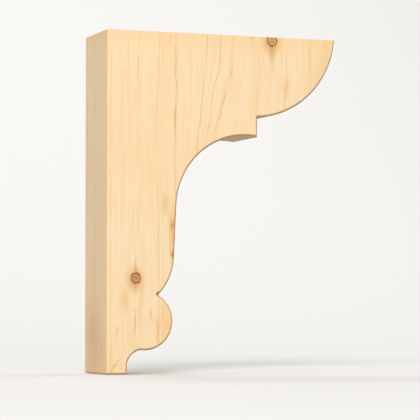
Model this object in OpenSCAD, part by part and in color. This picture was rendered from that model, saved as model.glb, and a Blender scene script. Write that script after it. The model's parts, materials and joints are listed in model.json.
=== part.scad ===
// Wooden corbel bracket: one board of knotty pine, sawn to a scrolled profile, that is fixed to a
// wall and carries a shelf.
//
// X points out from the wall, Y runs across the board's thickness and Z points up. The origin is the
// centre of the face that bears on the wall. The profile is drawn flat, with X as its first axis and
// the height above the origin as its second, and is then stood up.
//
// From the top down, the profile is a quarter-round nose, a small upright fillet, a large cove, a
// straight shank that swells into a belly, a round bead, and a small cove above the foot.

/* [Board] */
// Height of the face that bears on the wall
height = 215; // [180:1:300]
// How far the top reaches out from the wall
projection = 155.5; // [128:0.5:190]
// Thickness of the board
thickness = 44; // [18:1:95]

/* [Nose] */
// Radius of the quarter-round nose
nose_r = 57.5; // [52:0.5:75]
// Depth below the top at which the nose meets the fillet
nose_drop = 51.8; // [40:0.1:56]

/* [Fillet] */
// Distance from the wall to the upright fillet between the nose and the cove
fillet_projection = 101.3; // [84:0.1:115]

/* [Cove] */
// Radius of the large cove
cove_r = 47; // [36:0.5:57]
// Depth below the top of the cove's crown
cove_crown = 63.9; // [60:0.1:76]
// Wood left between the wall and the deepest part of the cove
cove_back = 46.4; // [38:0.1:56]

/* [Shank and belly] */
// How much the shank narrows from the cove to the belly
shank_taper = 1.5; // [0:0.1:5]
// Radius of the belly, the rounded end of the shank above the bead
belly_r = 34.5; // [26:0.5:42]

/* [Bead] */
// Radius of the round bead
bead_r = 18.4; // [15:0.1:22]
// How far the bead's centre stands forward of the small cove's centre
bead_forward = 1; // [0:0.1:2]
// How far the bead hangs below the crown of the small cove
bead_hang = 0.4; // [0.3:0.1:2]
// Angle above level, seen from the bead's centre, at which the belly lands on the bead
notch_angle = 61.5; // [50:0.5:75]

/* [Foot] */
// Width of the foot, measured from the wall
foot_w = 13.7; // [11:0.1:17]
// Radius of the small cove above the foot
foot_cove_r = 10.8; // [9:0.1:13]
// Height of the foot's upright edge, below the small cove
foot_rise = 4.6; // [2:0.1:10]

/* [Hidden] */
$fn = 128;

// The colour of planed pine
pine = [0.93, 0.77, 0.56];

// Where a straight run and an arc flow into each other, one overlaps the other by this much, which
// is too little to see and keeps them one piece
lap = 0.02;
// How far a shape that is trimmed runs past where it is trimmed
overrun = 10;

// Levels of the two ends of the wall face
top = height / 2;
bottom = -height / 2;

// The nose's arc runs from the fillet up to the front of the top
nose_centre = arc_centre([fillet_projection, top - nose_drop], [projection, top], nose_r);

cove_centre = [cove_back + cove_r, top - cove_crown - cove_r];
foot_cove_centre = [foot_w + foot_cove_r - lap, bottom + foot_rise];
bead_centre = foot_cove_centre + [bead_forward, foot_cove_r + bead_r - bead_hang];

// The belly's arc ends at the notch, where it lands on the bead
notch = bead_centre + bead_r * [cos(notch_angle), sin(notch_angle)];
belly_x = cove_back - shank_taper - belly_r;
belly_centre = [belly_x, notch.y + sqrt(belly_r ^ 2 - (notch.x - belly_x) ^ 2)];

// The shank is the straight line that touches the cove from behind and the belly from in front. It
// leans from upright by the angle lean.
between = cove_centre - belly_centre;
lean = 90 - asin((cove_r + belly_r) / norm(between)) - atan2(between.y, between.x);
along = [sin(lean), cos(lean)];
across = [cos(lean), -sin(lean)];
shank_top = cove_centre - (cove_r - lap) * across;
shank_end = belly_centre + (belly_r - lap) * across;

// Centre of the circle of radius r that passes through a and b, to the left of the way from a to b
function arc_centre(a, b, r) =
    let (half = (b - a) / 2, reach = sqrt(r ^ 2 - half * half))
    a + half + reach * [-half.y, half.x] / norm(half);

// The board before it is sawn, with its front edge left long
module board() {
    translate([0, bottom]) square([projection + overrun, height]);
}

// The quarter-round nose, the front of the top
module nose() {
    translate(nose_centre) circle(r = nose_r);
}

// The wood behind the fillet and above the large cove
module head() {
    difference() {
        translate([-overrun, shank_top.y]) square([overrun + fillet_projection, height]);
        translate(cove_centre) circle(r = cove_r);
    }
}

// The straight shank, from the head down to the belly
module shank() {
    polygon([
        [-overrun, top],
        [-overrun, belly_centre.y],
        belly_centre,
        shank_end,
        shank_top + overrun * along,
    ]);
}

// The rounded end of the shank
module belly() {
    translate(belly_centre) circle(r = belly_r);
}

// The round bead between the belly and the foot
module bead() {
    translate(bead_centre) circle(r = bead_r);
}

// The foot, with its small cove, and the wood behind the bead and the belly
module foot() {
    difference() {
        translate([-overrun, bottom - overrun])
            square([overrun + foot_cove_centre.x, overrun + belly_centre.y - bottom]);
        translate(foot_cove_centre) circle(r = foot_cove_r);
        translate([foot_w, bottom - overrun * 2])
            square([foot_cove_r * 2, overrun * 2 + foot_rise]);
    }
}

// The sawn outline
module profile() {
    intersection() {
        board();
        union() {
            nose();
            head();
            shank();
            belly();
            bead();
            foot();
        }
    }
}

// The whole bracket: the profile stood up, with the board's thickness centred on Y
module bracket() {
    color(pine) rotate([90, 0, 0])
        linear_extrude(height = thickness, center = true) profile();
}

bracket();
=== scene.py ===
"""The looks of a sawn pine corbel bracket, in metres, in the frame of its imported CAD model.

X runs out from the wall face, Y across the thickness with the front at -Y, and Z up.
"""

import json
import logging
import math
from dataclasses import dataclass, field
from enum import Enum

import bpy
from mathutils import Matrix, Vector

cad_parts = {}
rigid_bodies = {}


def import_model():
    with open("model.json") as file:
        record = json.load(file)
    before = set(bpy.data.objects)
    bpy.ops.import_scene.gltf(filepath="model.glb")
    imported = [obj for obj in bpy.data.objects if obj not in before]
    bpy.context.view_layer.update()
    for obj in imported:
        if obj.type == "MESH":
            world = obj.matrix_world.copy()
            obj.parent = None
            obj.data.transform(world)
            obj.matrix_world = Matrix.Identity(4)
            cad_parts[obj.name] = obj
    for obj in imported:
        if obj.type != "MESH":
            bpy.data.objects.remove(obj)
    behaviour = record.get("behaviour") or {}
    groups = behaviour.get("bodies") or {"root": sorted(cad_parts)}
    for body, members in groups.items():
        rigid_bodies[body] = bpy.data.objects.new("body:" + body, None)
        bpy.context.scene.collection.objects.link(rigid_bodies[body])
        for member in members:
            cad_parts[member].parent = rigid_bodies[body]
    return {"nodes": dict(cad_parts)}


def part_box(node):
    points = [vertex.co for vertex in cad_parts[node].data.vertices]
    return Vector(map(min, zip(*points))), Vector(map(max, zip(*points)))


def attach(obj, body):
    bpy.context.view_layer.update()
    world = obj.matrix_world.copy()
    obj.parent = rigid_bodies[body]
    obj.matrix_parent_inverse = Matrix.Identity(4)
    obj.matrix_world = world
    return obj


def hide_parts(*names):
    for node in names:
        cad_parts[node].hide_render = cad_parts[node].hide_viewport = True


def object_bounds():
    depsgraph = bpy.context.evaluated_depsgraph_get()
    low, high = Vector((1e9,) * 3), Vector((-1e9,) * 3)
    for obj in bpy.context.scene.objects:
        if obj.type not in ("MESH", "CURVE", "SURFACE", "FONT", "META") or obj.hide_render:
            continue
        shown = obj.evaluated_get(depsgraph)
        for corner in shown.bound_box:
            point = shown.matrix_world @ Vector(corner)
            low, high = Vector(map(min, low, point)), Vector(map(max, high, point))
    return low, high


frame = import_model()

CAD_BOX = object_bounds()
MM = 0.001

Triple = tuple[float, float, float]
Colour = tuple[float, float, float, float]
# How a value turns into an amount: the range that it comes from, and the range that it goes to
Span = tuple[float, float, float, float]
Socket = bpy.types.NodeSocket
Tree = bpy.types.NodeTree

log = logging.getLogger("bracket")


# ---------------------------------------------------------------- shared helpers


def linear(hex_colour: str) -> Colour:
    """Turns an sRGB hex colour into Blender's linear colour.

    Args:
        hex_colour: the colour as "#rrggbb".

    Returns:
        Linear red, green and blue, and an alpha of 1.
    """
    parts = [int(hex_colour[i:i + 2], 16) / 255 for i in (1, 3, 5)]
    red, green, blue = (c / 12.92 if c <= 0.04045 else ((c + 0.055) / 1.055) ** 2.4 for c in parts)
    return red, green, blue, 1.0


def add_node(
    tree: Tree,
    kind: str,
    *inputs: object,
    named: dict[str | int, object] | None = None,
    give: int | str = 0,
    **settings: object,
) -> Socket | None:
    """Adds one node with its settings and links.

    Args:
        tree: the material's node tree.
        kind: the node's type, without its "ShaderNode" start.
        inputs: what the first inputs take in turn: another node's output, a plain value, or None to leave it.
        named: what further inputs take, by their names or numbers.
        give: the output to hand back, by its number or name.
        settings: the node's own options.

    Returns:
        The chosen output, or None where the node has none.
    """
    node = tree.nodes.new("ShaderNode" + kind)
    for option, choice in settings.items():
        setattr(node, option, choice)
    for key, value in [*enumerate(inputs), *(named or {}).items()]:
        if isinstance(value, Socket):
            tree.links.new(value, node.inputs[key])
        elif value is not None:
            node.inputs[key].default_value = value
    return node.outputs[give] if node.outputs else None


def select_only(piece: bpy.types.Object) -> None:
    """Deselects everything, then selects one object and makes it the active one.

    Args:
        piece: the object to select.
    """
    bpy.ops.object.select_all(action="DESELECT")
    piece.select_set(True)
    bpy.context.view_layer.objects.active = piece


# ---------------------------------------------------------------- the timber


@dataclass(frozen=True)
class Knot:
    """The end of a small branch, which runs into the board from its front face and dies out.

    Sizes are in millimetres. The grain parts round it, and closes again in a dark tail above and below.

    Attributes:
        x: where its heart meets the front face, out from the wall.
        z: the height of that point.
        radius: its radius at the front face.
        depth: how far into the board it runs.
        tail_up: how far the tail above it runs.
        tail_down: how far the tail below it runs.
        tail_width: how wide its tails start, as a share of its radius.
        wood: the colour between its own growth rings.
    """

    x: float
    z: float
    radius: float
    depth: float
    tail_up: float
    tail_down: float
    tail_width: float
    wood: str


@dataclass(frozen=True)
class Mark:
    """A soft-edged mark in the wood: a warm patch, a fleck or streak of resin, painted shade, or a scratch.

    Sizes are in millimetres.

    Attributes:
        x: how far its middle lies out from the wall.
        z: the height of its middle.
        reach: how far it goes each way from there.
        colour: what it turns the wood to.
        strength: how much of that colour it has in its middle.
        behind: how far its middle lies behind the front face.
        lean: how far it leans away from the wall for each millimetre up.
    """

    x: float
    z: float
    reach: Triple
    colour: str
    strength: float
    behind: float = 0.0
    lean: float = 0.0


@dataclass(frozen=True)
class DarkYear:
    """A growth ring with an extra dark line, from a dry summer.

    Attributes:
        radius: how far it lies from the tree's pith, in millimetres.
        width: how wide its line is, across the ring, in millimetres.
        strength: how dark it is, where 1 is the full colour.
    """

    radius: float
    width: float
    strength: float


@dataclass(frozen=True)
class SandedPine:
    """Scots pine, planed on its faces, sawn round its outline and sanded all over, with no finish on it.

    The eye gets a pale, warm, matt wood with soft growth lines along its height, a few strong ones,
    fine fibre streaks, two knots, and darker wood where a cut crosses the grain.

    Sizes are in millimetres, and a size of three numbers is across the face, into it and along the grain.
    """

    # The board's own wood
    earlywood: str = "#f3d8b0"
    latewood: str = "#ebc890"
    dark_line: str = "#d09c60"
    warm: str = "#f0c78e"
    fibre_dark: str = "#e0bf8a"

    # The tree's pith, which runs up behind the board, and the width of a year's growth
    pith_x: float = 92.0
    pith_y: float = 60.0
    ring: float = 1.75
    # Spells of fast and slow growth: how many there are to a year, and how many years they move the rings by
    spells_a_year: float = 0.23
    spell_shift: float = 3.0
    # Over one ring, late wood darkens slowly and ends sharply. No two years are as dark.
    darkening: Span = (0.35, 0.85, 0.0, 1.0)
    ending: Span = (0.85, 1.0, 1.0, 0.0)
    year_strength: Span = (0.0, 1.0, 0.1, 1.0)

    # The grain's slow wander, and the swirl in the middle of the board
    wander_size: Triple = (30.0, 30.0, 75.0)
    wander: Triple = (5.0, 5.0, 0.0)
    swirl_at: Triple = (80.0, 0.0, 20.0)
    swirl_reach: Triple = (40.0, 1000.0, 92.0)
    swirl: float = 13.0
    # Where the grain parts round a knot, a distance along it counts for this share of one across it
    parting: float = 0.42

    # The patches where growth lines fade, and how much of a line they leave
    fade_size: Triple = (3.0, 3.0, 18.0)
    fade: Span = (0.36, 0.62, 0.08, 1.1)
    # Dark years keep this share of their line there. Round the pith, from a little before it to further
    # past it, they fade to the last share.
    dark_year_kept: float = 0.3
    before_pith: float = 1.0
    past_pith: float = 7.0
    past_pith_share: float = 0.2

    # The patches of warmer wood
    cloud_size: Triple = (22.0, 22.0, 60.0)
    cloud: Span = (0.45, 0.7, 0.0, 0.35)
    # Real fibres are about 0.03 mm wide. These are drawn coarser, so as to show, with finer ones in them.
    fibre_size: Triple = (0.8, 0.8, 24.0)
    finer_fibres: float = 0.55
    fibre: Span = (0.5, 0.8, 0.0, 0.45)
    # How far in from its ends the board has dried warmer, and how much
    dried: float = 14.0
    dried_share: float = 0.4

    # Where a cut crosses the grain
    end_grain: str = "#e9b86c"
    end_grain_share: float = 0.5
    end_ring: str = "#c8955a"
    end_ring_share: float = 0.7

    # The front's eased edges: a painted highlight near the face and painted shade beyond. Each comes in over
    # one range of how squarely the surface faces the front, and goes out over another.
    painted_highlight: str = "#fff0c4"
    highlight_in: Span = (0.998, 0.97, 0.0, 0.7)
    highlight_out: Span = (0.8, 0.9, 0.0, 1.0)
    painted_edge_shade: str = "#cf9d60"
    edge_shade_in: Span = (0.88, 0.75, 0.0, 0.55)
    edge_shade_out: Span = (0.1, 0.3, 0.0, 1.0)

    # How coarse the raggedness of a mark's edge is, and how far it goes each way
    ragged_size: Triple = (10 / 3, 10 / 3, 20 / 3)
    ragged: Triple = (2.6, 0.0, 7.0)

    # A knot's halo, with its sizes as shares of the knot's radius
    knot_halo: str = "#dfae70"
    halo_at: Triple = (-0.4, 0.0, -0.6)
    halo_width: float = 2.6
    halo_height: float = 3.4
    halo_strength: float = 1.3
    # Its tails, from their thick end to their tips
    knot_tail: str = "#cf9f5c"
    tail: Span = (0.2, 1.0, 0.75, 0.0)
    # Its own end: the raggedness of its outline, how its edge ends, and its dark lines
    knot_ragged_size: Triple = (2.5, 2.5, 2.5)
    knot_ragged: Span = (0.3, 0.7, 0.85, 1.15)
    knot_edge: Span = (1.0, 1.15, 1.0, 0.0)
    knot_heart: str = "#a8763c"
    knot_bark: str = "#8f612c"

    # The surface: early wood sands rougher, and late wood stands proud. Its relief is a share of the fibres'.
    early_roughness: float = 0.67
    late_roughness: float = 0.55
    relief: float = 0.05
    relief_strength: float = 0.25
    line_relief: float = 0.5
    ior: float = 1.5

    knots: tuple[Knot, ...] = (
        Knot(
            x=19.0, z=-47.7, radius=3.3, depth=24.0,
            tail_up=21.0, tail_down=13.0, tail_width=0.75, wood="#c98f58",
        ),
        Knot(
            x=111.2, z=105.4, radius=3.5, depth=30.0,
            tail_up=8.0, tail_down=27.0, tail_width=1.35, wood="#d3a166",
        ),
    )
    dark_years: tuple[DarkYear, ...] = (
        DarkYear(radius=93.8, width=0.36, strength=0.75),
        DarkYear(radius=83.8, width=0.22, strength=0.7),
        DarkYear(radius=82.2, width=0.14, strength=0.4),
        DarkYear(radius=86.6, width=0.24, strength=0.35),
        DarkYear(radius=100.2, width=0.26, strength=0.22),
        DarkYear(radius=107.3, width=0.26, strength=0.25),
        DarkYear(radius=115.6, width=0.26, strength=0.25),
    )
    marks: tuple[Mark, ...] = (
        # Warm patches in the nose, the bead and the shank
        Mark(x=150.0, z=78.0, reach=(17.0, 40.0, 48.0), colour="#e8b476", strength=0.5),
        Mark(x=43.0, z=-78.0, reach=(15.0, 40.0, 24.0), colour="#edb568", strength=0.6),
        Mark(x=121.0, z=76.0, reach=(3.5, 12.0, 11.0), colour="#e3b06c", strength=0.6),
        Mark(x=44.5, z=-20.0, reach=(5.0, 20.0, 30.0), colour="#e6a955", strength=0.8),
        Mark(x=38.4, z=-1.0, reach=(3.6, 5.0, 11.0), colour="#dcaa62", strength=0.5),
        # Dark flecks at the front of the shank
        Mark(x=43.2, z=-14.0, reach=(2.2, 3.0, 4.5), colour="#bb8240", strength=0.75),
        Mark(x=43.4, z=-32.5, reach=(1.9, 3.0, 4.5), colour="#b1772f", strength=0.8),
        # Resin streaks in the bead, and a warm patch above them
        Mark(x=18.6, z=-75.0, reach=(1.0, 3.0, 13.0), colour="#c0955c", strength=0.6),
        Mark(x=29.5, z=-71.0, reach=(1.4, 3.0, 6.0), colour="#c9a75c", strength=0.55),
        Mark(x=33.2, z=-81.0, reach=(0.9, 3.0, 13.0), colour="#d59f5c", strength=0.5),
        Mark(x=11.5, z=-61.0, reach=(5.5, 12.0, 13.0), colour="#e6b878", strength=0.55),
        # Two streaks low in the wall face, and the darker wood round them
        Mark(x=0.0, z=-78.0, behind=30.0, reach=(3.0, 1.2, 11.0), colour="#b98a5c", strength=0.55),
        Mark(x=0.0, z=-92.0, behind=10.0, reach=(3.0, 1.0, 7.0), colour="#b98a5c", strength=0.5),
        Mark(x=0.0, z=-86.0, behind=24.0, reach=(2.5, 26.0, 42.0), colour="#dda97a", strength=0.5),
        # Painted shade at the tip of the notch above the bead, in the deep corner
        Mark(x=34.0, z=-58.0, reach=(2.4, 50.0, 2.0), colour="#84653f", strength=1.0),
        # A scratch across the foot, and a fainter one above it
        Mark(x=5.0, z=-102.0, reach=(1.3, 2.0, 5.6), colour="#c38f52", strength=0.6, lean=0.85),
        Mark(x=7.2, z=-81.0, reach=(0.9, 3.0, 6.0), colour="#cf9f62", strength=0.4, lean=0.4),
    )

    def material(self, front_y: float, end_z: float) -> bpy.types.Material:
        """Makes the wood as a solid pattern, so that every cut shows the same tree.

        Args:
            front_y: where the front face is, in millimetres.
            end_z: how far the board's ends are from its middle, in millimetres.

        Returns:
            The finished material.
        """
        wood = bpy.data.materials.new("sanded_pine")
        wood.use_nodes = True
        tree = wood.node_tree
        tree.nodes.clear()
        metres = add_node(tree, "TexCoord", give="Object")
        place = add_node(tree, "VectorMath", metres, named={"Scale": 1 / MM}, operation="SCALE")
        hearts = [self.from_heart(tree, place, knot, front_y) for knot in self.knots]
        straight = self.parted_grain(tree, place, hearts)
        radius = self.pith_distance(tree, straight)
        late = self.growth_rings(tree, radius)
        shown = self.line_shown(tree, place)
        line = add_node(tree, "Math", late, shown, operation="MULTIPLY")
        fibre = self.patches(tree, straight, self.fibre_size, roughness=self.finer_fibres)
        colour = self.board_colour(tree, place, line, fibre)
        colour = self.dark_lines(tree, colour, radius, self.dark_year_shown(tree, straight, shown))
        colour = self.dried_ends(tree, place, colour, end_z)
        colour = self.cut_grain(tree, colour, late)
        colour = self.stains_and_shade(tree, place, colour, front_y)
        for knot, heart in zip(self.knots, hearts):
            colour = self.knot_colour(tree, place, colour, knot, heart)
        self.surface(tree, colour, line, fibre)
        return wood

    def spot(self, tree: Tree, place: Socket, at: Triple, reach: Triple, strength: float) -> Socket:
        """Finds how far a point is inside a soft-edged spot.

        Args:
            tree: the material's node tree.
            place: the point in millimetres.
            at: the spot's middle.
            reach: how far the spot goes each way.
            strength: the value in its middle.

        Returns:
            The strength in the middle, falling smoothly to 0 at the spot's edge.
        """
        away = add_node(tree, "VectorMath", place, at, operation="SUBTRACT")
        share = add_node(tree, "VectorMath", away, reach, operation="DIVIDE")
        gone = add_node(tree, "VectorMath", share, give="Value", operation="LENGTH")
        return add_node(tree, "MapRange", gone, 0.0, 1.0, strength, 0.0, interpolation_type="SMOOTHSTEP")

    def patches(
        self,
        tree: Tree,
        place: Socket,
        size: Triple,
        give: str = "Fac",
        detail: float = 2.0,
        roughness: float = 0.5,
    ) -> Socket:
        """Makes soft random patches of a real size.

        Args:
            tree: the material's node tree.
            place: the point in millimetres.
            size: how big the patches are each way.
            give: "Fac" for one pattern, or "Color" for three.
            detail: how many layers of finer patches they hold.
            roughness: how strong those finer layers are.

        Returns:
            The patches, which lie around 0.5.
        """
        shrunk = add_node(tree, "VectorMath", place, tuple(1 / side for side in size), operation="MULTIPLY")
        layers = {"Scale": 1.0, "Detail": detail, "Roughness": roughness}
        return add_node(tree, "TexNoise", shrunk, named=layers, give=give)

    def shifted(self, tree: Tree, place: Socket, size: Triple, by: Triple, detail: float = 2.0) -> Socket:
        """Shifts a point a little each way, so that what is drawn there comes out uneven.

        Args:
            tree: the material's node tree.
            place: the point in millimetres.
            size: how big the patches are that shift together.
            by: how far they shift each way.
            detail: how many layers of finer patches they hold.

        Returns:
            The shifted point.
        """
        patch = self.patches(tree, place, size, give="Color", detail=detail)
        middle = add_node(tree, "VectorMath", patch, (0.5, 0.5, 0.5), operation="SUBTRACT")
        shift = add_node(tree, "VectorMath", middle, by, operation="MULTIPLY")
        return add_node(tree, "VectorMath", place, shift, operation="ADD")

    def coated(self, tree: Tree, colour: Socket | Colour, *coats: tuple[Socket, Socket | str]) -> Socket:
        """Lays coats of colour over the wood, one after another.

        Args:
            tree: the material's node tree.
            colour: the colour below.
            coats: for each coat, how much of it shows, and its colour as a hex value or a node's output.

        Returns:
            The mixed colour.
        """
        for amount, coat in coats:
            new = linear(coat) if isinstance(coat, str) else coat
            colour = add_node(tree, "Mix", amount, named={6: colour, 7: new}, give=2, data_type="RGBA")
        return colour

    def from_heart(self, tree: Tree, place: Socket, knot: Knot, front_y: float) -> Socket:
        """Gives the way from a knot's heart to the point, whose Y is the depth below the front face."""
        return add_node(tree, "VectorMath", place, (knot.x, front_y, knot.z), operation="SUBTRACT")

    def parted_grain(self, tree: Tree, place: Socket, hearts: list[Socket]) -> Socket:
        """Parts the grain round each knot, as a stream parts round a post, and swirls it in mid-board.

        Args:
            tree: the material's node tree.
            place: the point in millimetres.
            hearts: the way from each knot's heart to the point.

        Returns:
            Where the point would be if the grain were straight.
        """
        swirl = self.spot(tree, place, self.swirl_at, self.swirl_reach, self.swirl)
        sideways = add_node(tree, "CombineXYZ", swirl)
        straight = add_node(tree, "VectorMath", place, sideways, operation="ADD")
        for knot, heart in zip(self.knots, hearts):
            flat = add_node(tree, "VectorMath", heart, (1.0, 0.0, self.parting), operation="MULTIPLY")
            reach = add_node(tree, "VectorMath", flat, give="Value", operation="LENGTH")
            held = add_node(tree, "Math", reach, knot.radius, operation="MAXIMUM")
            ratio = add_node(tree, "Math", knot.radius, held, operation="DIVIDE")
            share = add_node(tree, "Math", ratio, 2.0, operation="POWER")
            side = add_node(tree, "VectorMath", flat, (1.0, 0.0, 0.0), operation="MULTIPLY")
            shift = add_node(tree, "VectorMath", side, named={"Scale": share}, operation="SCALE")
            straight = add_node(tree, "VectorMath", straight, shift, operation="SUBTRACT")
        return straight

    def pith_distance(self, tree: Tree, straight: Socket) -> Socket:
        """Measures from the tree's pith, which runs up behind the board, with a slow wander along the grain.

        Args:
            tree: the material's node tree.
            straight: where the point would be if the grain were straight.

        Returns:
            The distance in millimetres.
        """
        bent = self.shifted(tree, straight, self.wander_size, self.wander, detail=4.0)
        from_pith = add_node(tree, "VectorMath", bent, (self.pith_x, self.pith_y, 0.0), operation="SUBTRACT")
        level = add_node(tree, "VectorMath", from_pith, (1.0, 1.0, 0.0), operation="MULTIPLY")
        return add_node(tree, "VectorMath", level, give="Value", operation="LENGTH")

    def growth_rings(self, tree: Tree, radius: Socket) -> Socket:
        """Lays uneven growth rings, each pale in spring and darker to its edge, and no two as dark.

        Args:
            tree: the material's node tree.
            radius: the distance from the pith.

        Returns:
            How dark the ring is at the point, from 0 to 1.
        """
        years = add_node(tree, "Math", radius, self.ring, operation="DIVIDE")
        spells = {"W": years, "Scale": self.spells_a_year, "Detail": 1.0}
        growth = add_node(tree, "TexNoise", named=spells, give="Fac", noise_dimensions="1D")
        uneven = add_node(tree, "Math", growth, self.spell_shift, years, operation="MULTIPLY_ADD")
        season = add_node(tree, "Math", uneven, operation="FRACT")
        year = add_node(tree, "Math", uneven, operation="FLOOR")
        darkening = add_node(tree, "MapRange", season, *self.darkening, interpolation_type="SMOOTHSTEP")
        ending = add_node(tree, "MapRange", season, *self.ending, interpolation_type="SMOOTHSTEP")
        late = add_node(tree, "Math", darkening, ending, operation="MULTIPLY")
        chance = add_node(tree, "TexWhiteNoise", named={"W": year}, give="Value", noise_dimensions="1D")
        strength = add_node(tree, "MapRange", chance, *self.year_strength)
        return add_node(tree, "Math", late, strength, operation="MULTIPLY")

    def line_shown(self, tree: Tree, place: Socket) -> Socket:
        """Breaks the growth lines up along the board, as planing through slightly wavy wood does."""
        patch = self.patches(tree, place, self.fade_size)
        return add_node(tree, "MapRange", patch, *self.fade)

    def dark_year_shown(self, tree: Tree, straight: Socket, shown: Socket) -> Socket:
        """Lets the dark years show on the wall side of the pith, where the tree grew slowest.

        Args:
            tree: the material's node tree.
            straight: where the point would be if the grain were straight.
            shown: how much of a growth line shows.

        Returns:
            How much of a dark year's line shows, from 0 to 1.
        """
        out = add_node(tree, "SeparateXYZ", straight, give="X")
        passing = (self.pith_x - self.before_pith, self.pith_x + self.past_pith, 1.0, self.past_pith_share)
        side = add_node(tree, "MapRange", out, *passing)
        rest = 1 - self.dark_year_kept
        patchy = add_node(tree, "Math", shown, rest, self.dark_year_kept, operation="MULTIPLY_ADD")
        return add_node(tree, "Math", patchy, side, operation="MULTIPLY")

    def board_colour(self, tree: Tree, place: Socket, line: Socket, fibre: Socket) -> Socket:
        """Colours the board's own wood along the grain, with its growth lines, warmer patches and fibres.

        Args:
            tree: the material's node tree.
            place: the point in millimetres.
            line: how much of a growth line shows at the point.
            fibre: the fine streaks.

        Returns:
            The wood's colour.
        """
        cloud = self.patches(tree, place, self.cloud_size)
        warmth = add_node(tree, "MapRange", cloud, *self.cloud)
        streak = add_node(tree, "MapRange", fibre, *self.fibre)
        coats = ((line, self.latewood), (warmth, self.warm), (streak, self.fibre_dark))
        return self.coated(tree, linear(self.earlywood), *coats)

    def dark_lines(self, tree: Tree, colour: Socket, radius: Socket, shown: Socket) -> Socket:
        """Draws the dark years' lines.

        Args:
            tree: the material's node tree.
            colour: the wood's colour.
            radius: the distance from the pith.
            shown: how much of a dark year's line shows.

        Returns:
            The colour with the lines.
        """
        for year in self.dark_years:
            off = add_node(tree, "Math", radius, year.radius, operation="SUBTRACT")
            gap = add_node(tree, "Math", off, operation="ABSOLUTE")
            fall = (0.0, year.width, year.strength, 0.0)
            line = add_node(tree, "MapRange", gap, *fall, interpolation_type="SMOOTHSTEP")
            amount = add_node(tree, "Math", line, shown, operation="MULTIPLY")
            colour = self.coated(tree, colour, (amount, self.dark_line))
        return colour

    def dried_ends(self, tree: Tree, place: Socket, colour: Socket, end_z: float) -> Socket:
        """Warms the wood towards the board's two ends, which dry first.

        Args:
            tree: the material's node tree.
            place: the point in millimetres.
            colour: the wood's colour.
            end_z: how far the board's ends are from its middle.

        Returns:
            The colour with the dried ends.
        """
        height = add_node(tree, "SeparateXYZ", place, give="Z")
        rise = add_node(tree, "Math", height, operation="ABSOLUTE")
        amount = add_node(tree, "MapRange", rise, end_z - self.dried, end_z, 0.0, self.dried_share)
        return self.coated(tree, colour, (amount, self.warm))

    def cut_grain(self, tree: Tree, colour: Socket, late: Socket) -> Socket:
        """Darkens the wood where a cut crosses the grain, and paints light and shade on the front's eased
        edges.

        An eased edge gets a painted highlight next to the face, and painted shade beyond it.

        Args:
            tree: the material's node tree.
            colour: the wood's colour along the grain.
            late: how dark the ring is at the point.

        Returns:
            The colour on every side of the board.
        """
        facing = add_node(tree, "TexCoord", give="Normal")
        across = add_node(tree, "SeparateXYZ", facing, give="Y")
        up = across.node.outputs["Z"]
        # 1 where the surface lies flat across the grain, and 0 where it runs along it
        crossed = add_node(tree, "Math", up, 2.0, operation="POWER")
        ends = add_node(tree, "Math", crossed, self.end_grain_share, operation="MULTIPLY")
        rings = add_node(tree, "Math", crossed, late, operation="MULTIPLY")
        ringed = add_node(tree, "Math", rings, self.end_ring_share, operation="MULTIPLY")
        colour = self.coated(tree, colour, (ends, self.end_grain), (ringed, self.end_ring))
        # 1 where the surface faces the front, and 0 where an edge has turned square to it
        front = add_node(tree, "Math", across, -1.0, operation="MULTIPLY")
        edge = ((self.painted_highlight, self.highlight_in, self.highlight_out), (self.painted_edge_shade, self.edge_shade_in, self.edge_shade_out))
        # Paints a highlight on each eased edge next to the face, and shade beyond it
        for shade, comes_in, goes_out in edge:
            begun = add_node(tree, "MapRange", front, *comes_in)
            still = add_node(tree, "MapRange", front, *goes_out)
            amount = add_node(tree, "Math", begun, still, operation="MULTIPLY")
            colour = self.coated(tree, colour, (amount, shade))
        return colour

    def stains_and_shade(self, tree: Tree, place: Socket, colour: Socket, front_y: float) -> Socket:
        """Lays the marks over the wood, with ragged edges.

        Args:
            tree: the material's node tree.
            place: the point in millimetres.
            colour: the wood's colour.
            front_y: where the front face is.

        Returns:
            The colour with the marks.
        """
        ragged = self.shifted(tree, place, self.ragged_size, self.ragged)
        height = add_node(tree, "SeparateXYZ", ragged, give="Z")
        for mark in self.marks:
            upright = ragged
            if mark.lean:
                slide = add_node(
                    tree, "Math", height, -mark.lean, mark.lean * mark.z, operation="MULTIPLY_ADD"
                )
                sideways = add_node(tree, "CombineXYZ", slide)
                upright = add_node(tree, "VectorMath", ragged, sideways, operation="ADD")
            at = (mark.x, front_y + mark.behind, mark.z)
            # One of the marks is painted shade, in the notch's corner
            stain_and_shade = self.spot(tree, upright, at, mark.reach, mark.strength)
            colour = self.coated(tree, colour, (stain_and_shade, mark.colour))
        return colour

    def knot_colour(self, tree: Tree, place: Socket, colour: Socket, knot: Knot, heart: Socket) -> Socket:
        """Colours one knot: its halo, its tails, and its own end with bark and tight rings.

        Args:
            tree: the material's node tree.
            place: the point in millimetres.
            colour: the colour of the wood round it.
            knot: the knot.
            heart: the way from the knot's heart to the point.

        Returns:
            The colour with the knot.
        """
        depth = add_node(tree, "SeparateXYZ", heart, give="Y")
        left = add_node(tree, "MapRange", depth, 0.0, knot.depth, 1.0, 0.0)
        halo_reach = (self.halo_width * knot.radius, knot.depth, self.halo_height * knot.radius)
        halo = self.spot(tree, heart, self.halo_at, halo_reach, self.halo_strength)
        tails = self.knot_tails(tree, knot, heart, left)
        out = self.out_from_heart(tree, place, knot, heart, left)
        inside = add_node(tree, "MapRange", out, *self.knot_edge)
        rings = self.knot_rings(tree, knot, out)
        return self.coated(tree, colour, (halo, self.knot_halo), (tails, self.knot_tail), (inside, rings))

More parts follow.
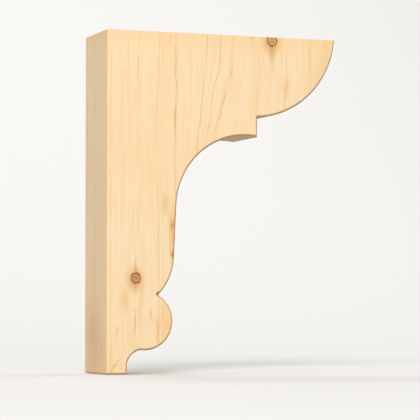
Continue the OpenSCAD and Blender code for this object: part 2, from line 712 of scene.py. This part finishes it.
    def knot_tails(self, tree: Tree, knot: Knot, heart: Socket, left: Socket) -> Socket:
        """Draws the dark tails above and below a knot, each coming to a point.

        Args:
            tree: the material's node tree.
            knot: the knot.
            heart: the way from the knot's heart to the point.
            left: how much of the knot is left at this depth, from 1 to 0.

        Returns:
            How dark the tail is at the point.
        """
        side = add_node(tree, "SeparateXYZ", heart, give="X")
        height = side.node.outputs["Z"]
        aside = add_node(tree, "Math", side, operation="ABSOLUTE")
        narrow = add_node(tree, "Math", aside, knot.tail_width * knot.radius, operation="DIVIDE")
        above = add_node(tree, "Math", height, knot.tail_up, operation="DIVIDE")
        below = add_node(tree, "Math", height, -knot.tail_down, operation="DIVIDE")
        along = add_node(tree, "Math", above, below, operation="MAXIMUM")
        spindle = add_node(tree, "Math", narrow, along, operation="ADD")
        tail = add_node(tree, "MapRange", spindle, *self.tail, interpolation_type="SMOOTHSTEP")
        return add_node(tree, "Math", tail, left, operation="MULTIPLY")

    def out_from_heart(self, tree: Tree, place: Socket, knot: Knot, heart: Socket, left: Socket) -> Socket:
        """Measures out from a knot's middle line, as a share of its radius at that depth.

        Args:
            tree: the material's node tree.
            place: the point in millimetres.
            knot: the knot.
            heart: the way from the knot's heart to the point.
            left: how much of the knot is left at this depth, from 1 to 0.

        Returns:
            0 in the knot's heart and about 1 at its bark, with a ragged edge.
        """
        flat = add_node(tree, "VectorMath", heart, (1.0, 0.0, 1.0), operation="MULTIPLY")
        reach = add_node(tree, "VectorMath", flat, give="Value", operation="LENGTH")
        size = add_node(tree, "Math", left, knot.radius, operation="MULTIPLY")
        # Never 0, because it divides
        solid = add_node(tree, "Math", size, 0.01, operation="MAXIMUM")
        even = add_node(tree, "Math", reach, solid, operation="DIVIDE")
        patch = self.patches(tree, place, self.knot_ragged_size)
        ragged = add_node(tree, "MapRange", patch, *self.knot_ragged)
        return add_node(tree, "Math", even, ragged, operation="MULTIPLY")

    def knot_rings(self, tree: Tree, knot: Knot, out: Socket) -> Socket:
        """Colours a knot's end: a dark heart, one ring halfway out, and a dark line of bark.

        Args:
            tree: the material's node tree.
            knot: the knot.
            out: how far out from its heart the point is, as a share of its radius.

        Returns:
            The knot's own colour.
        """
        rings = add_node(tree, "ValToRGB", out, give="Color")
        ramp = rings.node.color_ramp
        ramp.elements[0].color = linear(self.knot_heart)
        ramp.elements[1].color = linear(knot.wood)
        ramp.elements[1].position = 0.2
        bands = ((0.38, self.knot_heart), (0.52, knot.wood), (0.7, knot.wood), (0.86, self.knot_bark))
        for share, shade in bands:
            ramp.elements.new(share).color = linear(shade)
        return rings

    def surface(self, tree: Tree, colour: Socket, line: Socket, fibre: Socket) -> None:
        """Gives the sanded surface its dull shine, and a relief as sanding leaves it: late wood stands proud.

        Args:
            tree: the material's node tree.
            colour: the wood's colour.
            line: how much of a growth line shows at the point.
            fibre: the fine streaks.
        """
        height = add_node(tree, "Math", line, self.line_relief, fibre, operation="MULTIPLY_ADD")
        sanded = {"Strength": self.relief_strength, "Distance": self.relief * MM, "Height": height}
        relief = add_node(tree, "Bump", named=sanded, give="Normal")
        dull = add_node(tree, "MapRange", line, 0.0, 1.0, self.early_roughness, self.late_roughness)
        finish = {"Base Color": colour, "Roughness": dull, "IOR": self.ior, "Normal": relief}
        shader = add_node(tree, "BsdfPrincipled", named=finish)
        add_node(tree, "OutputMaterial", shader)


# ---------------------------------------------------------------- the bracket


class Edge(Enum):
    """How far each kind of edge was eased with sandpaper, in millimetres.

    Attributes:
        SAWN: the long edges of the sawn outline, at the front and the back.
        FOOT: the two edges across the thickness, under the foot.
        PLANED: the long edges of the wall face and the top.
        CORNER: the other corners across the thickness.
    """

    SAWN = 2.2
    FOOT = 1.8
    PLANED = 0.5
    CORNER = 0.35


@dataclass
class Bracket:
    """The bracket: one board, sawn to a moulded outline, with its edges eased.

    Attributes:
        node: the board's CAD node.
        name: the finished piece's name.
        slot: its material slot in the record. It is not used.
        body: the body that it rides on.
        segments: how many strips an eased edge has.
        profile: how full an eased edge is, where 0.25 is flat and 0.5 is round.
        merge: how close two points are that are one, in metres.
        flat_angle: the most that two triangles of one flat face differ.
        corner_angle: the least that two faces differ at a real corner. The facets of a curve differ less.
        smooth_angle: the most that two faces differ and still shade as one.
        pine: the wood.
    """

    node: str = "bracket"
    name: str = "pine_bracket"
    slot: str = "pine"
    body: str = "root"
    segments: int = 4
    profile: float = 0.29
    merge: float = 0.001 * MM
    flat_angle: float = math.radians(0.3)
    corner_angle: float = math.radians(12)
    smooth_angle: float = math.radians(32)
    pine: SandedPine = field(default_factory=SandedPine)

    def __post_init__(self) -> None:
        """Reads the board's corners from the frame."""
        self.low, self.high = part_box(self.node)

    def edge_kind(self, start: Vector, end: Vector, angle: float) -> Edge | None:
        """Says how an edge of the board is eased.

        Args:
            start: one end of the edge.
            end: the other end.
            angle: the angle between the edge's two faces.

        Returns:
            The kind of edge, or None for a facet line within a curve.
        """
        touch = 0.01 * MM
        across = abs(start.y - end.y) > touch
        on_top = min(start.z, end.z) > self.high.z - touch
        at_wall = max(start.x, end.x) < self.low.x + touch
        at_foot = max(start.z, end.z) < self.low.z + touch
        if across and at_foot:
            return Edge.FOOT
        if across:
            return Edge.CORNER if angle > self.corner_angle else None
        return Edge.PLANED if on_top or at_wall else Edge.SAWN

    def saw_board(self) -> bpy.types.Object:
        """Copies the board's outline from its CAD node, and joins its loose triangles into flat faces.

        Returns:
            The board, free of the node's parent.
        """
        select_only(frame["nodes"][self.node])
        bpy.ops.object.duplicate()
        board = bpy.context.view_layer.objects.active
        bpy.ops.object.parent_clear(type="CLEAR_KEEP_TRANSFORM")
        board.name = self.name
        board.data.name = self.name
        bpy.ops.object.mode_set(mode="EDIT")
        bpy.ops.mesh.select_all(action="SELECT")
        bpy.ops.mesh.remove_doubles(threshold=self.merge)
        bpy.ops.mesh.dissolve_limited(angle_limit=self.flat_angle)
        bpy.ops.object.mode_set(mode="OBJECT")
        return board

    def weigh_edges(self, mesh: bpy.types.Mesh, widest: float) -> None:
        """Marks each edge of the board with its share of the widest easing.

        Args:
            mesh: the board's mesh.
            widest: the widest easing, in millimetres.
        """
        normals_by_edge: dict[tuple[int, int], list[Vector]] = {}
        for face in mesh.polygons:
            for key in face.edge_keys:
                normals_by_edge.setdefault(key, []).append(face.normal.copy())
        weights = mesh.attributes.new("bevel_weight_edge", "FLOAT", "EDGE")
        for edge in mesh.edges:
            start, end = (mesh.vertices[i].co for i in edge.vertices)
            one, other = normals_by_edge[edge.key]
            kind = self.edge_kind(start, end, one.angle(other))
            weights.data[edge.index].value = kind.value / widest if kind else 0.0

    def ease_edges(self, board: bpy.types.Object) -> None:
        """Rounds the board's edges, each kind by its own amount.

        Args:
            board: the sawn board.
        """
        widest = max(kind.value for kind in Edge)
        self.weigh_edges(board.data, widest)
        ease = board.modifiers.new("eased edges", "BEVEL")
        ease.limit_method = "WEIGHT"
        ease.width = widest * MM
        ease.segments = self.segments
        ease.profile = self.profile
        ease.miter_outer = "MITER_SHARP"
        ease.harden_normals = True
        select_only(board)
        bpy.ops.object.shade_smooth_by_angle(angle=self.smooth_angle)
        bpy.ops.object.modifier_apply(modifier=ease.name)

    def dress(self, board: bpy.types.Object) -> None:
        """Gives the board its wood."""
        board.data.materials.clear()
        board.data.materials.append(self.pine.material(self.low.y / MM, self.high.z / MM))

    def build(self) -> bpy.types.Object:
        """Makes the bracket and puts it in the place of its CAD node.

        Returns:
            The finished piece.
        """
        board = self.saw_board()
        self.ease_edges(board)
        self.dress(board)
        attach(board, self.body)
        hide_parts(self.node)
        return board


# ---------------------------------------------------------------- the studio


@dataclass(frozen=True)
class MattPaper:
    """White background paper, rolled out as a sweep: flat, bright and dull, with a faint tooth to it.

    Attributes:
        white: its colour.
        tooth: the colour of its tooth.
        grit: the size of the tooth in millimetres. Real tooth is finer: this is drawn coarser, so as to show.
        roughness: how dull it is.
    """

    white: str = "#e2e2e1"
    tooth: str = "#dedddc"
    grit: float = 2.5
    roughness: float = 0.9

    def material(self) -> bpy.types.Material:
        """Makes the paper's material.

        Returns:
            The finished material.
        """
        paper = bpy.data.materials.new("matt_paper")
        paper.use_nodes = True
        tree = paper.node_tree
        tree.nodes.clear()
        place = add_node(tree, "TexCoord", give="Object")
        tooth = add_node(tree, "TexNoise", place, named={"Scale": 1 / (self.grit * MM)}, give="Fac")
        shades = {6: linear(self.white), 7: linear(self.tooth)}
        colour = add_node(tree, "Mix", tooth, named=shades, give=2, data_type="RGBA")
        shader = add_node(tree, "BsdfPrincipled", named={"Base Color": colour, "Roughness": self.roughness})
        add_node(tree, "OutputMaterial", shader)
        return paper


@dataclass(frozen=True)
class Lamp:
    """One soft square lamp. Sizes are in metres.

    Attributes:
        name: the lamp's name.
        at: where it hangs.
        look: the point it is turned to.
        side: the side of the square.
        watts: its power.
    """

    name: str
    at: Triple
    look: Triple
    side: float
    watts: float


@dataclass
class Studio:
    """A pale floor that sweeps up behind, soft light from the upper left, and the camera.

    Sizes are in metres.

    Attributes:
        floor_z: the height of the floor.
        half_width: how far the paper reaches to each side.
        front: how far it reaches forward.
        back: how far behind it turns up.
        rise: how far up it goes there.
        curve: how far from the corner its curve starts.
        curve_strips: how many strips the curve has.
        paper: the paper.
        lamps: the key light at the front left, a light from behind, and one for the paper.
        lamp_colour: the colour of their light.
        room_colour: the colour of the light from all round.
        room_light: how strong that light is.
        camera_at: where the camera stands.
        camera_turn: how far it is turned to the right.
        camera_tilt: how far it looks up.
        lens: its focal length in millimetres.
    """

    floor_z: float
    half_width: float = 4.0
    front: float = 5.0
    back: float = 2.6
    rise: float = 3.0
    curve: float = 1.7
    curve_strips: int = 24
    paper: MattPaper = field(default_factory=MattPaper)
    lamps: tuple[Lamp, ...] = (
        Lamp("key", at=(-1.4, -2.7, 1.75), look=(0.06, 0.0, 0.0), side=1.5, watts=109.0),
        Lamp("back light", at=(0.0, 2.4, 2.7), look=(0.06, 0.0, 0.0), side=1.5, watts=40.0),
        Lamp("paper light", at=(1.0, 0.3, 2.0), look=(1.1, 2.6, 0.6), side=1.6, watts=23.0),
    )
    lamp_colour: str = "#fffdfa"
    room_colour: str = "#fffefc"
    room_light: float = 0.45
    camera_at: Triple = (-0.4121, -1.2768, -0.0711)
    camera_turn: float = math.radians(20.96)
    camera_tilt: float = math.radians(2.85)
    lens: float = 182.5

    def select_back_edge(self, floor: bpy.types.Object) -> None:
        """Selects the floor's edge at the back, where it lies flat, and goes into edit mode.

        Args:
            floor: the floor.
        """
        bpy.ops.object.mode_set(mode="EDIT")
        bpy.ops.mesh.select_mode(type="EDGE")
        bpy.ops.mesh.select_all(action="DESELECT")
        bpy.ops.object.mode_set(mode="OBJECT")
        halfway_up = self.floor_z + self.rise / 2
        for edge in floor.data.edges:
            ends = [floor.data.vertices[i].co for i in edge.vertices]
            edge.select = all(end.y > 0 and end.z < halfway_up for end in ends)
        bpy.ops.object.mode_set(mode="EDIT")

    def lay_floor(self) -> bpy.types.Object:
        """Makes the floor as a plane whose back edge is turned up in a curve.

        Returns:
            The floor.
        """
        bpy.ops.object.select_all(action="DESELECT")
        bpy.ops.mesh.primitive_plane_add(size=1)
        floor = bpy.context.view_layer.objects.active
        floor.name = "paper_sweep"
        for corner in floor.data.vertices:
            corner.co.x *= 2 * self.half_width
            corner.co.y = self.back if corner.co.y > 0 else -self.front
            corner.co.z = self.floor_z
        self.select_back_edge(floor)
        bpy.ops.mesh.extrude_region_move(TRANSFORM_OT_translate={"value": (0, 0, self.rise)})
        bpy.ops.object.mode_set(mode="OBJECT")
        self.select_back_edge(floor)
        bpy.ops.mesh.bevel(offset=self.curve, segments=self.curve_strips)
        bpy.ops.object.mode_set(mode="OBJECT")
        bpy.ops.object.shade_smooth()
        floor.data.materials.append(self.paper.material())
        # The paper throws no light back, so the undersides stay as dark as they are on a wall
        floor.visible_diffuse = False
        return floor

    def hang(self, lamp: Lamp) -> None:
        """Hangs one lamp.

        Args:
            lamp: the lamp.
        """
        light = bpy.data.lights.new(lamp.name, "AREA")
        light.shape = "SQUARE"
        light.size = lamp.side
        light.energy = lamp.watts
        light.color = linear(self.lamp_colour)[:3]
        stand = bpy.data.objects.new(lamp.name, light)
        stand.location = lamp.at
        stand.rotation_euler = (Vector(lamp.look) - stand.location).to_track_quat("-Z", "Y").to_euler()
        bpy.context.scene.collection.objects.link(stand)

    def fill_room(self) -> None:
        """Fills the room with pale light from all round."""
        world = bpy.data.worlds.new("pale room")
        world.use_nodes = True
        background = world.node_tree.nodes["Background"]
        background.inputs["Color"].default_value = linear(self.room_colour)
        background.inputs["Strength"].default_value = self.room_light
        bpy.context.scene.world = world

    def aim_camera(self) -> None:
        """Sets the camera to the left of the bracket, low down, with a long lens."""
        camera = bpy.data.cameras.new("camera")
        camera.lens = self.lens
        stand = bpy.data.objects.new("camera", camera)
        stand.location = self.camera_at
        stand.rotation_euler = (math.pi / 2 + self.camera_tilt, 0.0, -self.camera_turn)
        bpy.context.scene.collection.objects.link(stand)
        bpy.context.scene.camera = stand

    def build(self) -> None:
        """Sets up the floor, the lights and the camera."""
        self.lay_floor()
        self.fill_room()
        for lamp in self.lamps:
            self.hang(lamp)
        self.aim_camera()
        bpy.context.scene.view_settings.view_transform = "Standard"


def main() -> None:
    """Builds the bracket and the studio."""
    logging.basicConfig(level=logging.INFO, format="%(message)s")
    bracket = Bracket().build()
    log.info("%s: %d faces", bracket.name, len(bracket.data.polygons))
    studio = Studio(floor_z=CAD_BOX[0].z)
    studio.build()
    log.info("studio: floor, %d lamps and camera", len(studio.lamps))


if __name__ == "__main__":
    main()
